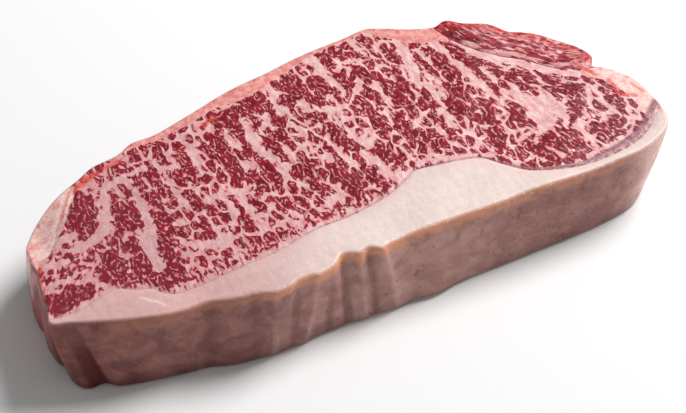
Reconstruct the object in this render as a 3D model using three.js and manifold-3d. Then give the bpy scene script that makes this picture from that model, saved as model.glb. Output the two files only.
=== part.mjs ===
// A raw, heavily marbled sirloin (strip loin) steak, lying flat on its lower cut face.
// Millimetres, +Z up. X runs along the steak, from the narrow tail at -X to the broad end at +X.
// The fat cap is the long side towards -Y. The origin is at the middle of the underside.
// Three pieces of tissue run through the whole thickness: the marbled eye of the loin, the fat cap
// along its front, and the small side chain muscle at the back of the broad end.

import * as THREE from "three";
import { mergeVertices } from "three/addons/utils/BufferGeometryUtils.js";
import Module from "manifold-3d";

// Driving dimensions of the whole steak.
const LENGTH = 250;
const WIDTH = 123;
const THICKNESS = 31.4;

// The gap that keeps neighbouring pieces from touching.
const SEAM_GAP = 0.3;

// The upper edge, anticlockwise from the front left corner, as [x, y, toe].
// toe is how far the foot of the wall stands out from the upper edge, or in from it if negative.
const FRONT_RIM = [
  [-125, -39.4, -5.2],
  [-115.5, -42.8, 4],
  [-102.5, -48, 3.4],
  [-88, -52.4, 2],
  [-77, -53, 3.2],
  [-67, -55, 4.2],
  [-56, -58, 2.6],
  [-45, -60, 0.8],
  [-36, -57.3, 2.4],
  [-29, -58, 1.6],
  [-20.5, -53.8, 5.8],
  [-9, -55.4, 4.6],
  [4, -54, 6],
  [12, -54, 7],
  [24, -54.2, 4.6],
  [45, -54.5, 3.5],
  [68, -54.6, 2.5],
  [89, -54.1, 1.3],
  [103, -53, -0.8],
  [112, -50.2, -3.8],
  [119.5, -46, -6],
];
const BROAD_END_RIM = [
  [123.2, -39.5, -7.5],
  [125, -29, -7],
  [125.4, -20, -5.5],
  [124, -13.2, -4],
  [121, -7.6, -3],
  [118.6, -4.2, -2],
  [114.4, -1.4, -1],
];
const CHAIN_RIM = [
  [116.8, 3, -2],
  [115.4, 10, -2],
  [110.6, 18.4, -2],
  [104.6, 26.8, -2],
  [98, 31.6, -2],
  [95.6, 33, -1.5],
  [90.6, 40.6, -2],
  [82.2, 46, -2],
  [77, 50.6, -1.5],
  [71.4, 49.8, 0],
];
const BACK_RIM = [
  [61, 53.6, 0],
  [50, 59.2, 0],
  [46, 61.2, 0],
  [34, 60, 0],
  [12, 57.2, 1],
  [-6, 52.2, 1],
  [-23, 48.6, 1],
  [-41, 42.6, 1],
  [-56, 38.6, 0],
  [-65, 37.6, 0],
  [-73, 32.8, 0],
  [-84, 30.4, 0],
];
const TAIL_RIM = [
  [-90.5, 26.6, 0],
  [-96.6, 23.6, 1],
  [-105.6, 18.6, 2],
  [-113.4, 12.2, 2.5],
  [-119.4, 1.5, 1.5],
  [-121, -14, 1.2],
  [-122.6, -25, 0],
  [-124.2, -34, -3],
];

// The spine inside the steak that every ring of the skin shrinks towards.
const SPINE_TAIL = new THREE.Vector2(-80, -14);
const SPINE_BROAD = new THREE.Vector2(76, -2);

// How finely the skin is divided: rays straight to the front and back, and fans round both ends.
const STATION_COUNT = 62;
const TAIL_FAN_COUNT = 34;
const BROAD_FAN_COUNT = 40;

// Heights of the rings up the wall as shares of its height, and of the rings in from the edge.
const WALL_SHARES = [0, 0.03, 0.1, 0.26, 0.46, 0.66, 0.84, 0.94, 0.985, 1];
const TOP_SHARES = [0.04, 0.1, 0.2, 0.34, 0.5, 0.66, 0.82, 1];
const UNDERSIDE_SHARES = [0.5, 1];

// The edges are cut square and only a little rounded.
const TOP_EDGE_RADIUS = 1.6;
const FOOT_EDGE_RADIUS = 1.5;
const WALL_BELLY = 0.7;

// Where the foot of the fat cap curls up off the surface it lies on: middle, reach and height.
const FOOT_CURL = { x: 12, reach: 13, height: 1.3 };

// Wrinkles of the fat cap's outer face: x at the top, x at the foot, depth, half width.
// A negative depth is a ridge.
const WRINKLES = [
  [-73, -76, 1.1, 5],
  [-58, -60, 0.8, 3.2],
  [-51, -53, -0.7, 2.4],
  [-42, -46, 1.3, 3.2],
  [-34, -41, -0.9, 2.2],
  [-28.5, -31, 1, 2.8],
  [-22.9, -22.9, 1.8, 2.8],
  [-16.6, -16.2, -0.8, 2.2],
  [-12.6, -12, 1.3, 2.6],
  [-8.4, -3, -1, 2],
  [52, 58, 0.5, 7],
];

// Creases round the tail, as the direction in degrees from the spine's tail end at the top and at
// the foot, depth, and half width in degrees. Between the first two lies a rolled lobe of fat.
const TAIL_CREASES = [
  [201, 208, 2.2, 3.4],
  [213, 226, 2.6, 4],
  [180, 183, 1, 4],
  [163, 160, 0.8, 5],
];

// The bevelled shoulder at the back of the tail: direction in degrees, its half width in degrees,
// the drop of the edge and how far in from the edge the slope starts.
const SHOULDER = { direction: 144, halfWidth: 20, drop: 4.2, reach: 8.5 };

// Gentle waves of the cut face: height, wavelength along X, wavelength along Y and phase.
const FACE_WAVES = [
  [0.28, 83, 140, 0.4],
  [0.22, 57, -71, 1.9],
  [0.16, 37, 52, 4.1],
  [0.1, -26, 31, 2.6],
];

// The seam between the eye and the fat cap, from beyond the tail to beyond the broad end, and the
// seam between the eye and the chain, from the back round to the broad end, as [x, y, slant].
// slant is how far the seam's foot lies to the left of its upper edge, looking along the seam.
const CAP_SEAM = [
  [-150, -36, 1],
  [-124, -36.6, 1],
  [-115, -36.8, 1],
  [-106, -34.4, 1],
  [-99, -32.8, 0.5],
  [-93, -36, 0],
  [-88, -38, 0],
  [-83, -43.4, 1],
  [-72, -43.8, 1.5],
  [-55, -42.6, 1.5],
  [-41, -41, 1],
  [-24, -37.2, 0],
  [-6, -35, -0.5],
  [8, -32, -0.5],
  [16.5, -27.6, 0],
  [21.5, -25, 0],
  [31, -26.6, 0.5],
  [46.5, -30, 1.5],
  [53, -37.6, 2],
  [60, -44.6, 3],
  [70, -48.8, 4],
  [83, -50.8, 5],
  [96, -50, 7],
  [106, -47.4, 8.5],
  [114, -43, 9],
  [120, -38, 9.5],
  [150, -14, 10],
];
const CHAIN_SEAM = [
  [64, 76, 0],
  [70.4, 49, 0],
  [71.6, 43, 0],
  [74.5, 34.5, 0.5],
  [78.5, 27.2, 1],
  [84.5, 20.6, 1],
  [91.5, 14.4, 1],
  [97, 7.4, 1],
  [102, 2.4, 0.5],
  [107, -0.8, 0],
  [113, -2.8, 0],
  [135, -6, 0],
];
const CAP_SEAM_STEPS = 80;
const CHAIN_SEAM_STEPS = 30;

// The level of the cut face, and how far the chain stands proud of it.
const FACE_LEVEL = 30;
const CHAIN_RISE = 1.1;
const CHAIN_RISE_REACH = 6;

const EYE_COLOUR = 0xa63a45;
const CAP_COLOUR = 0xdcc3b8;
const CHAIN_COLOUR = 0xb8323a;

const clamp01 = (value) => Math.min(1, Math.max(0, value));
const smooth = (share) => share * share * (3 - 2 * share);
const bell = (offset, halfWidth) => Math.exp(-((offset / halfWidth) ** 2));
const mix = (a, b, share) => a + (b - a) * share;

// A smooth curve through [x, y, extra] points, as many short steps with the extra value in z.
function curveThrough(points, closed, steps) {
  const controls = points.map(([x, y, extra]) => new THREE.Vector3(x, y, extra));
  return new THREE.CatmullRomCurve3(controls, closed, "centripetal").getPoints(steps);
}

// The point of the rim that a ray from the spine meets, with the toe there in z.
function rimAlong(rim, origin, direction) {
  let found = null;
  for (let i = 0; i + 1 < rim.length; i++) {
    const a = rim[i];
    const b = rim[i + 1];
    const sideA = (a.x - origin.x) * direction.y - (a.y - origin.y) * direction.x;
    const sideB = (b.x - origin.x) * direction.y - (b.y - origin.y) * direction.x;
    if (sideA > 0 === sideB > 0) continue;
    const point = a.clone().lerp(b, sideA / (sideA - sideB));
    const reach = (point.x - origin.x) * direction.x + (point.y - origin.y) * direction.y;
    if (reach > 0 && (!found || reach > found.reach)) found = { reach, toe: point.z };
  }
  return found;
}

// Every ray from the spine out to the rim, anticlockwise from the tail end of the front.
function raysAround(rim) {
  const rays = [];
  const add = (origin, degrees) => {
    const angle = THREE.MathUtils.degToRad(degrees);
    const direction = new THREE.Vector2(Math.cos(angle), Math.sin(angle));
    rays.push({ origin, direction, degrees, ...rimAlong(rim, origin, direction) });
  };
  const station = (i) => SPINE_TAIL.clone().lerp(SPINE_BROAD, i / (STATION_COUNT - 1));
  for (let i = 0; i < STATION_COUNT; i++) add(station(i), 270);
  for (let i = 1; i < BROAD_FAN_COUNT; i++) add(SPINE_BROAD, 270 + (180 * i) / BROAD_FAN_COUNT);
  for (let i = STATION_COUNT - 1; i >= 0; i--) add(station(i), 90);
  for (let i = 1; i < TAIL_FAN_COUNT; i++) add(SPINE_TAIL, 90 + (180 * i) / TAIL_FAN_COUNT);
  return rays;
}

// Distance from a seam, positive to its left, looking along it.
function leftOfSeam(seam, x, y) {
  let nearest = Infinity;
  let side = 1;
  for (let i = 0; i + 1 < seam.length; i++) {
    const a = seam[i];
    const b = seam[i + 1];
    const runX = b.x - a.x;
    const runY = b.y - a.y;
    const share = clamp01(((x - a.x) * runX + (y - a.y) * runY) / (runX * runX + runY * runY));
    const distance = Math.hypot(x - a.x - share * runX, y - a.y - share * runY);
    if (distance < nearest) {
      nearest = distance;
      side = runX * (y - a.y) - runY * (x - a.x) < 0 ? -1 : 1;
    }
  }
  return nearest * side;
}

// Height of the upper face at a point of the plan.
function faceHeight(x, y, chainSeam) {
  let height = FACE_LEVEL;
  for (const [tall, lengthX, lengthY, phase] of FACE_WAVES) {
    height += tall * Math.sin(2 * Math.PI * (x / lengthX + y / lengthY) + phase);
  }
  const intoChain = leftOfSeam(chainSeam, x, y) / CHAIN_RISE_REACH;
  return height + CHAIN_RISE * smooth(clamp01(intoChain));
}

// How much the tail's shoulder lowers the face, at a distance in from the edge along a ray.
function shoulderDrop(ray, inward) {
  const sideways = bell(ray.degrees - SHOULDER.direction, SHOULDER.halfWidth);
  const onTail = ray.origin === SPINE_TAIL && ray.degrees > 90;
  return onTail ? SHOULDER.drop * sideways * smooth(clamp01(1 - inward / SHOULDER.reach)) : 0;
}

// How far the wall stands out from the upper edge, at a share of its height.
function wallOffset(ray, share, height) {
  const z = share * height;
  let offset = ray.toe * (1 - share) + WALL_BELLY * Math.sin(Math.PI * share);
  if (ray.degrees === 270) {
    for (const [topX, footX, depth, halfWidth] of WRINKLES) {
      offset -= depth * bell(ray.origin.x - mix(footX, topX, share), halfWidth);
    }
  }
  if (ray.origin === SPINE_TAIL) {
    for (const [top, foot, depth, halfWidth] of TAIL_CREASES) {
      const strength = depth * mix(1, 0.45, share ** 3);
      offset -= strength * bell(ray.degrees - mix(foot, top, share), halfWidth);
    }
  }
  const intoTopEdge = clamp01((z - height + TOP_EDGE_RADIUS) / TOP_EDGE_RADIUS);
  const intoFoot = clamp01(1 - z / FOOT_EDGE_RADIUS);
  offset -= TOP_EDGE_RADIUS * (1 - Math.sqrt(1 - intoTopEdge ** 2));
  return offset - FOOT_EDGE_RADIUS * (1 - Math.sqrt(1 - intoFoot ** 2));
}

// How far the foot of the wall is lifted at a point of the front.
function footLift(ray) {
  return ray.degrees === 270
    ? FOOT_CURL.height * bell(ray.origin.x - FOOT_CURL.x, FOOT_CURL.reach)
    : 0;
}

// One ring of points of the skin on the wall.
function wallRing(rays, share, chainSeam) {
  return rays.map((ray) => {
    const edgeX = ray.origin.x + ray.direction.x * ray.reach;
    const edgeY = ray.origin.y + ray.direction.y * ray.reach;
    const height = faceHeight(edgeX, edgeY, chainSeam) - shoulderDrop(ray, 0);
    const out = ray.reach + wallOffset(ray, share, height);
    const z = mix(footLift(ray) * bell(share, 0.12), height, share);
    return [ray.origin.x + ray.direction.x * out, ray.origin.y + ray.direction.y * out, z];
  });
}

// One ring of the upper face or the underside, a share of the way in from the edge to the spine.
function faceRing(rays, share, edgeShare, chainSeam) {
  return rays.map((ray) => {
    const edge = ray.reach + wallOffset(ray, edgeShare, THICKNESS);
    const out = edge * (1 - share);
    const x = ray.origin.x + ray.direction.x * out;
    const y = ray.origin.y + ray.direction.y * out;
    if (edgeShare === 0) return [x, y, 0];
    return [x, y, faceHeight(x, y, chainSeam) - shoulderDrop(ray, edge - out)];
  });
}

// Joins rings of equal length into the skin of one closed solid. Each ring runs anticlockwise seen
// from the next one. The first and last are closed by a fan, or have shrunk to a line.
function skinOf(rings, fanEnds) {
  const count = rings[0].length;
  const index = [];
  for (let ring = 0; ring + 1 < rings.length; ring++) {
    for (let i = 0; i < count; i++) {
      const a = ring * count + i;
      const b = ring * count + ((i + 1) % count);
      index.push(a, b, b + count, a, b + count, a + count);
    }
  }
  const last = (rings.length - 1) * count;
  for (let i = 1; fanEnds && i + 1 < count; i++) {
    index.push(0, i + 1, i, last, last + i, last + i + 1);
  }
  const skin = new THREE.BufferGeometry();
  skin.setAttribute("position", new THREE.Float32BufferAttribute(rings.flat(2), 3));
  skin.setIndex(index);
  return skin;
}

// The whole steak as one skin, scaled and centred to its driving length and width.
function steakSkin(chainSeam) {
  const rim = [...FRONT_RIM, ...BROAD_END_RIM, ...CHAIN_RIM, ...BACK_RIM, ...TAIL_RIM];
  const rays = raysAround(curveThrough(rim, true, 1500));
  const rings = [
    ...[...UNDERSIDE_SHARES].reverse().map((share) => faceRing(rays, share, 0, chainSeam)),
    ...WALL_SHARES.map((share) => wallRing(rays, share, chainSeam)),
    ...TOP_SHARES.map((share) => faceRing(rays, share, 1, chainSeam)),
  ];
  return skinOf(rings, false);
}

// A closed solid from a geometry whose triangles face outwards.
function solidFrom(geometry, wasm) {
  const merged = mergeVertices(geometry, 1e-3);
  const corners = merged.index.array;
  const kept = [];
  for (let i = 0; i < corners.length; i += 3) {
    const [a, b, c] = corners.slice(i, i + 3);
    if (a !== b && b !== c && c !== a) kept.push(a, b, c);
  }
  const mesh = new wasm.Mesh({
    numProp: 3,
    vertProperties: merged.attributes.position.array,
    triVerts: new Uint32Array(kept),
  });
  return new wasm.Manifold(mesh);
}

// All the room to the left of a seam, or to its right, from a distance beside it outwards.
function roomBeside(seam, side, distance) {
  const below = -5;
  const above = THICKNESS + 10;
  const sections = seam.map((point, i) => {
    const before = seam[Math.max(0, i - 1)];
    const after = seam[Math.min(seam.length - 1, i + 1)];
    const left = new THREE.Vector2(before.y - after.y, after.x - before.x).normalize();
    const near = (z) => {
      const aside = point.z * (1 - z / THICKNESS) + side * distance;
      return [point.x + left.x * aside, point.y + left.y * aside, z];
    };
    const far = (z) => [point.x, side * LENGTH, z];
    return side > 0
      ? [near(below), far(below), far(above), near(above)]
      : [far(below), near(below), near(above), far(above)];
  });
  return skinOf(sections, true);
}

// A named mesh from a solid.
function meshOf(name, solid, colour) {
  const { vertProperties, triVerts, numProp } = solid.getMesh();
  const positions = [];
  for (let i = 0; i < vertProperties.length; i += numProp) {
    positions.push(...vertProperties.subarray(i, i + 3));
  }
  const geometry = new THREE.BufferGeometry();
  geometry.setAttribute("position", new THREE.Float32BufferAttribute(positions, 3));
  geometry.setIndex([...triVerts]);
  geometry.computeVertexNormals();
  const material = new THREE.MeshStandardMaterial({ color: colour, roughness: 0.45, metalness: 0 });
  const mesh = new THREE.Mesh(geometry, material);
  mesh.name = name;
  return mesh;
}

const wasm = await Module();
wasm.setup();

const capSeam = curveThrough(CAP_SEAM, false, CAP_SEAM_STEPS);
const chainSeam = curveThrough(CHAIN_SEAM, false, CHAIN_SEAM_STEPS);
const steak = solidFrom(steakSkin(chainSeam), wasm);
const drawn = steak.boundingBox();
const scale = [LENGTH, WIDTH, THICKNESS].map((size, i) => size / (drawn.max[i] - drawn.min[i]));
const shift = [0, 1].map((i) => (-scale[i] * (drawn.max[i] + drawn.min[i])) / 2);
shift.push(-scale[2] * drawn.min[2]);
const placed = (solid) => solid.scale(scale).translate(shift);

// The seams part the steak into its three pieces, each half the gap away from its seam.
const besideCap = (distance) => solidFrom(roomBeside(capSeam, -1, distance), wasm);
const besideChain = (distance) => solidFrom(roomBeside(chainSeam, 1, distance), wasm);
const cap = steak.intersect(besideCap(SEAM_GAP / 2));
const chain = steak.intersect(besideChain(SEAM_GAP / 2));
const eye = steak.subtract(besideCap(-SEAM_GAP / 2)).subtract(besideChain(-SEAM_GAP / 2));

const group = new THREE.Group();
group.name = "sirloin_steak";
group.add(meshOf("loin_eye", placed(eye), EYE_COLOUR));
group.add(meshOf("fat_cap", placed(cap), CAP_COLOUR));
group.add(meshOf("side_chain", placed(chain), CHAIN_COLOUR));

export default group;
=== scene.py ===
"""The looks of a raw, marbled sirloin steak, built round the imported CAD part.

Lengths in the tables below are millimetres, in the frame of the part: X from the narrow tail to the broad
end, Y from the fat cap to the back, Z up. The skin follows the same rims, wrinkles and seams as the part's
source, far more finely.
"""

import math

import bmesh
import bpy
import numpy as np
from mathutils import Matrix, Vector


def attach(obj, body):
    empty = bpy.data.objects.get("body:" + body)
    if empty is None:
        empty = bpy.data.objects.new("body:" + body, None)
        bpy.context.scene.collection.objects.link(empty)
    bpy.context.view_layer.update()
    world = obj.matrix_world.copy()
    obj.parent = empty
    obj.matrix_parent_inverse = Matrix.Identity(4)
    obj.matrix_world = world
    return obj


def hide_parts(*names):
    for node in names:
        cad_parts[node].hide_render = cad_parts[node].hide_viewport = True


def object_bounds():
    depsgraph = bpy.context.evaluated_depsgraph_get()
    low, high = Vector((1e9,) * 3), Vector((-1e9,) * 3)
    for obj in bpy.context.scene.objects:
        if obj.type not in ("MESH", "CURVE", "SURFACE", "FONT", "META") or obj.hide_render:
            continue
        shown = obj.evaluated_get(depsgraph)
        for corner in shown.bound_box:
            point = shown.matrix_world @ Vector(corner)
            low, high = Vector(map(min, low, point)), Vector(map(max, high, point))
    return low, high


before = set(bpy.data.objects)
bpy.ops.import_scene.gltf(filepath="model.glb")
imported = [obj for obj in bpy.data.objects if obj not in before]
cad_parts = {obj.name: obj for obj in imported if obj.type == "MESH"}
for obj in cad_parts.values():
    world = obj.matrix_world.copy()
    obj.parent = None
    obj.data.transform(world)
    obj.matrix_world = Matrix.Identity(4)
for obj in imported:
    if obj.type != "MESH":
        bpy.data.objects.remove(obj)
cad_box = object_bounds()

SEED = 7

# The upper edge, anticlockwise from the front left corner, as [x, y, toe]. The foot stands out by the toe.
FRONT_RIM = [
    [-125, -39.4, -5.2], [-115.5, -42.8, 4], [-102.5, -48, 3.4], [-88, -52.4, 2],
    [-77, -53, 3.2], [-67, -55, 4.2], [-56, -58, 2.6], [-45, -60, 0.8],
    [-36, -57.3, 2.4], [-29, -58, 1.6], [-20.5, -53.8, 5.8], [-9, -55.4, 4.6],
    [4, -54, 6], [12, -54, 7], [24, -54.2, 4.6], [45, -54.5, 3.5],
    [68, -54.6, 2.5], [89, -54.1, 1.3], [103, -53, -0.8], [112, -50.2, -3.8],
    [119.5, -46, -6],
]
BROAD_END_RIM = [
    [123.2, -39.5, -7.5], [125, -29, -7], [125.4, -20, -5.5], [124, -13.2, -4],
    [121, -7.6, -3], [118.6, -4.2, -2], [114.4, -1.4, -1],
]
CHAIN_RIM = [
    [116.8, 3, -2], [115.4, 10, -2], [110.6, 18.4, -2], [104.6, 26.8, -2],
    [98, 31.6, -2], [95.6, 33, -1.5], [90.6, 40.6, -2], [82.2, 46, -2],
    [77, 50.6, -1.5], [71.4, 49.8, 0],
]
BACK_RIM = [
    [61, 53.6, 0], [50, 59.2, 0], [46, 61.2, 0], [34, 60, 0],
    [12, 57.2, 1], [-6, 52.2, 1], [-23, 48.6, 1], [-41, 42.6, 1],
    [-56, 38.6, 0], [-65, 37.6, 0], [-73, 32.8, 0], [-84, 30.4, 0],
]
TAIL_RIM = [
    [-90.5, 26.6, 0], [-96.6, 23.6, 1], [-105.6, 18.6, 2], [-113.4, 12.2, 2.5],
    [-119.4, 1.5, 1.5], [-121, -14, 1.2], [-122.6, -25, 0], [-124.2, -34, -3],
]
RIM = FRONT_RIM + BROAD_END_RIM + CHAIN_RIM + BACK_RIM + TAIL_RIM

# The seams between the eye and the fat cap, and between the eye and the chain, as [x, y, slant].
CAP_SEAM = [
    [-150, -36, 1], [-124, -36.6, 1], [-115, -36.8, 1], [-106, -34.4, 1],
    [-99, -32.8, 0.5], [-93, -36, 0], [-88, -38, 0], [-83, -43.4, 1],
    [-72, -43.8, 1.5], [-55, -42.6, 1.5], [-41, -41, 1], [-24, -37.2, 0],
    [-6, -35, -0.5], [8, -32, -0.5], [16.5, -27.6, 0], [21.5, -25, 0],
    [31, -26.6, 0.5], [46.5, -30, 1.5], [53, -37.6, 2], [60, -44.6, 3],
    [70, -48.8, 4], [83, -50.8, 5], [96, -50, 7], [106, -47.4, 8.5],
    [114, -43, 9], [120, -38, 9.5], [150, -14, 10],
]
CHAIN_SEAM = [
    [64, 76, 0], [70.4, 49, 0], [71.6, 43, 0], [74.5, 34.5, 0.5],
    [78.5, 27.2, 1], [84.5, 20.6, 1], [91.5, 14.4, 1], [97, 7.4, 1],
    [102, 2.4, 0.5], [107, -0.8, 0], [113, -2.8, 0], [135, -6, 0],
]

FACE_LEVEL = 30
FULL_HEIGHT = 31.4
CHAIN_RISE = 1.1
CHAIN_RISE_REACH = 6
TOP_EDGE_RADIUS = 1.1
FOOT_EDGE_RADIUS = 1.5
WALL_BELLY = 0.7
# Where the foot curls up a little: x, half width and height.
FOOT_CURL = (12, 13, 1.3)

# The front wall, which has the wrinkles: below this y, from the tail up to this x.
FRONT_Y, FRONT_END = -30, 100

# Wrinkles of the fat cap's outer face: x at the top and at the foot, depth (a ridge if negative), half width.
WRINKLES = [
    [-73, -76, 1.1, 5],
    [-58, -60, 0.8, 3.2],
    [-51, -53, -0.7, 2.4],
    [-42, -46, 1.3, 3.2],
    [-34, -41, -0.9, 2.2],
    [-28.5, -31, 1, 2.8],
    [-22.9, -22.9, 1.8, 2.8],
    [-16.6, -16.2, -0.8, 2.2],
    [-12.6, -12, 1.3, 2.6],
    [-8.4, -3, -1, 2],
    [52, 58, 0.5, 7],
]

# Creases round the tail: direction from TAIL_HUB at the top and at the foot, depth, half width, in degrees
# but for the depth. TAIL_END is the x up to which the tail's creases and its shoulder reach.
TAIL_HUB = (-80, -14)
TAIL_END = TAIL_HUB[0] + 4
TAIL_CREASES = [
    [201, 208, 2.2, 3.4],
    [213, 226, 2.6, 4],
    [180, 183, 1, 4],
    [163, 160, 0.8, 5],
]
# The tail's sloping shoulder: direction, half width, drop at the edge, and how far in it reaches.
SHOULDER = (144, 20, 4.2, 13)

# Gentle waves of the cut face: height, wavelength along X, wavelength along Y and phase.
FACE_WAVES = [
    [0.28, 83, 140, 0.4],
    [0.22, 57, -71, 1.9],
    [0.16, 37, 52, 4.1],
    [0.1, -26, 31, 2.6],
]

# The line inside the steak that every ring of the skin shrinks towards, and how finely the skin is divided.
SPINE = [[-97, -14], [-60, -9], [0, 0], [50, 2], [96, -11]]
SPINE_BLUR = 16
BLUR_REACH = 40
SKIN_STEP = 0.68
FAN_RADIUS = 42
WALL_RINGS = 26
TOP_RINGS = 78
UNDERSIDE_RINGS = 14


# ---- small maths ----


def clamp01(value):
    return np.clip(value, 0, 1)


def smooth(share):
    return share * share * (3 - 2 * share)


def rise(low, high, value):
    return smooth(clamp01((value - low) / (high - low)))


def bell(offset, half_width):
    return np.exp(-((offset / half_width) ** 2))


def mix(a, b, share):
    return a + (b - a) * share


def curve_through(points, closed, steps):
    """A centripetal Catmull-Rom curve through the points, as steps + 1 points."""
    controls = [np.array(p, float) for p in points]
    count = len(controls)
    spans = count if closed else count - 1

    def control(i):
        if closed:
            return controls[i % count]
        if i < 0:
            return 2 * controls[0] - controls[1]
        if i >= count:
            return 2 * controls[-1] - controls[-2]
        return controls[i]

    made = []
    for step in range(steps + 1):
        place = spans * step / steps
        span = min(int(place), spans - 1)
        share = place - span
        p0, p1, p2, p3 = (control(span + k) for k in (-1, 0, 1, 2))
        d0, d1, d2 = (
            max(float(np.sum((b - a) ** 2)) ** 0.25, 1e-4)
            for a, b in ((p0, p1), (p1, p2), (p2, p3))
        )
        t1 = ((p1 - p0) / d0 - (p2 - p0) / (d0 + d1) + (p2 - p1) / d1) * d1
        t2 = ((p2 - p1) / d1 - (p3 - p1) / (d1 + d2) + (p3 - p2) / d2) * d1
        c2 = -3 * p1 + 3 * p2 - 2 * t1 - t2
        c3 = 2 * p1 - 2 * p2 + t1 + t2
        made.append(p1 + share * (t1 + share * (c2 + share * c3)))
    return np.array(made)


# ---- noise on the plan ----

_draw = np.random.default_rng(SEED)
SHUFFLE = _draw.permutation(256)
SLOPES = np.stack([np.cos(np.arange(256) * 2.381), np.sin(np.arange(256) * 2.381)], -1)


def hashed(ix, iy, seed):
    return SHUFFLE[(SHUFFLE[(ix + seed * 31) & 255] + iy + seed * 17) & 255]


def waves(x, y, seed):
    """Smooth random waves, about -0.8 to 0.8, one unit across."""
    ix, iy = np.floor(x).astype(int), np.floor(y).astype(int)
    fx, fy = x - ix, y - iy
    sx, sy = (f * f * f * (f * (f * 6 - 15) + 10) for f in (fx, fy))

    def corner(dx, dy):
        slope = SLOPES[hashed(ix + dx, iy + dy, seed)]
        return slope[..., 0] * (fx - dx) + slope[..., 1] * (fy - dy)

    low = mix(corner(0, 0), corner(1, 0), sx)
    high = mix(corner(0, 1), corner(1, 1), sx)
    return 1.41 * mix(low, high, sy)


# ---- the form of the steak ----


def left_of(line, x, y):
    """Distance from a line of points, positive to its left."""
    a, b = line[:-1, :2], line[1:, :2]
    run = b - a
    nearest = np.full(x.shape, 1e9)
    for (ax, ay), (rx, ry) in zip(a, run):
        share = clamp01(((x - ax) * rx + (y - ay) * ry) / (rx * rx + ry * ry))
        away = np.hypot(x - ax - share * rx, y - ay - share * ry)
        side = np.where(rx * (y - ay) - ry * (x - ax) < 0, -1.0, 1.0)
        nearest = np.where(away < np.abs(nearest), away * side, nearest)
    return nearest


class Rays:
    """Every ray from the spine out to the rim, anticlockwise from the tail end of the front."""

    def __init__(self, rim):
        spine = np.array(SPINE, float)
        count = len(np.arange(spine[0, 0], spine[-1, 0] + 1e-6, SKIN_STEP))
        stations = np.linspace(spine[0, 0], spine[-1, 0], count)
        mid = np.interp(stations, spine[:, 0], spine[:, 1])
        kernel = np.exp(-((np.arange(-BLUR_REACH, BLUR_REACH + 1) / SPINE_BLUR) ** 2))
        padded = np.concatenate([np.full(BLUR_REACH, mid[0]), mid, np.full(BLUR_REACH, mid[-1])])
        mid = np.convolve(padded, kernel / kernel.sum(), "valid")
        fan = int(math.pi * FAN_RADIUS / SKIN_STEP)
        turn = np.arange(1, fan) * math.pi / fan
        straight = np.zeros(len(stations))
        x = [stations, np.full(fan - 1, stations[-1]), stations[::-1], np.full(fan - 1, stations[0])]
        y = [mid, np.full(fan - 1, mid[-1]), mid[::-1], np.full(fan - 1, mid[0])]
        angle = [straight - math.pi / 2, turn - math.pi / 2, straight + math.pi / 2, turn + math.pi / 2]
        self.x, self.y, angle = np.concatenate(x), np.concatenate(y), np.concatenate(angle)
        self.dx, self.dy = np.cos(angle), np.sin(angle)
        self.reach, self.toe = self._meet(rim)
        self.edge_x = self.x + self.dx * self.reach
        self.edge_y = self.y + self.dy * self.reach
        self.turn = np.degrees(np.arctan2(self.edge_y - TAIL_HUB[1], self.edge_x - TAIL_HUB[0])) % 360
        self.on_front = (self.edge_y < FRONT_Y) & (self.edge_x > TAIL_HUB[0]) & (self.edge_x < FRONT_END)
        self.on_tail = self.edge_x < TAIL_END

    def _meet(self, rim):
        a, b = rim[:-1], rim[1:]
        x, y, dx, dy = (values[:, None] for values in (self.x, self.y, self.dx, self.dy))
        side_a, side_b = ((end[:, 0] - x) * dy - (end[:, 1] - y) * dx for end in (a, b))
        share = side_a / np.where(side_a == side_b, 1, side_a - side_b)
        meet_x, meet_y = (mix(a[:, axis], b[:, axis], share) for axis in (0, 1))
        reach = (meet_x - x) * dx + (meet_y - y) * dy
        reach = np.where(((side_a > 0) != (side_b > 0)) & (reach > 0), reach, -1)
        best = reach.argmax(axis=1)
        rows = np.arange(len(self.x))
        toe = mix(a[best, 2], b[best, 2], share[rows, best])
        return reach[rows, best], toe


def face_height(x, y, chain_line):
    """Height of the upper face: gentle waves, and a little higher over the chain."""
    height = np.full(x.shape, float(FACE_LEVEL))
    for tall, length_x, length_y, phase in FACE_WAVES:
        height += tall * np.sin(2 * math.pi * (x / length_x + y / length_y) + phase)
    return height + CHAIN_RISE * smooth(clamp01(left_of(chain_line, x, y) / CHAIN_RISE_REACH))


def shoulder_drop(turn, on_tail, inward):
    """How far the upper face slopes down at the tail's shoulder."""
    direction, half_width, drop, reach = SHOULDER
    sideways = bell(turn - direction, half_width)
    return np.where(on_tail, drop * sideways * smooth(clamp01(1 - inward / reach)), 0)


def wall_offset(rays, share, height):
    """How far the wall stands out from the upper edge, at a share of its height."""
    z = share * height
    offset = rays.toe * (1 - share) + WALL_BELLY * math.sin(math.pi * share)
    for top, foot, depth, half_width in WRINKLES:
        crease = depth * bell(rays.edge_x - mix(foot, top, share), half_width) * rise(-0.15, 0.35, share)
        offset = offset - np.where(rays.on_front, crease, 0)
    for top, foot, depth, half_width in TAIL_CREASES:
        strength = depth * mix(1, 0.45, share**3)
        crease = strength * bell(rays.turn - mix(foot, top, share), half_width)
        offset = offset - np.where(rays.on_tail, crease, 0)
    into_top = clamp01((z - height + TOP_EDGE_RADIUS) / TOP_EDGE_RADIUS)
    into_foot = clamp01(1 - z / FOOT_EDGE_RADIUS)
    offset = offset - TOP_EDGE_RADIUS * (1 - np.sqrt(1 - into_top**2))
    return offset - FOOT_EDGE_RADIUS * (1 - np.sqrt(1 - into_foot**2))


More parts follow.
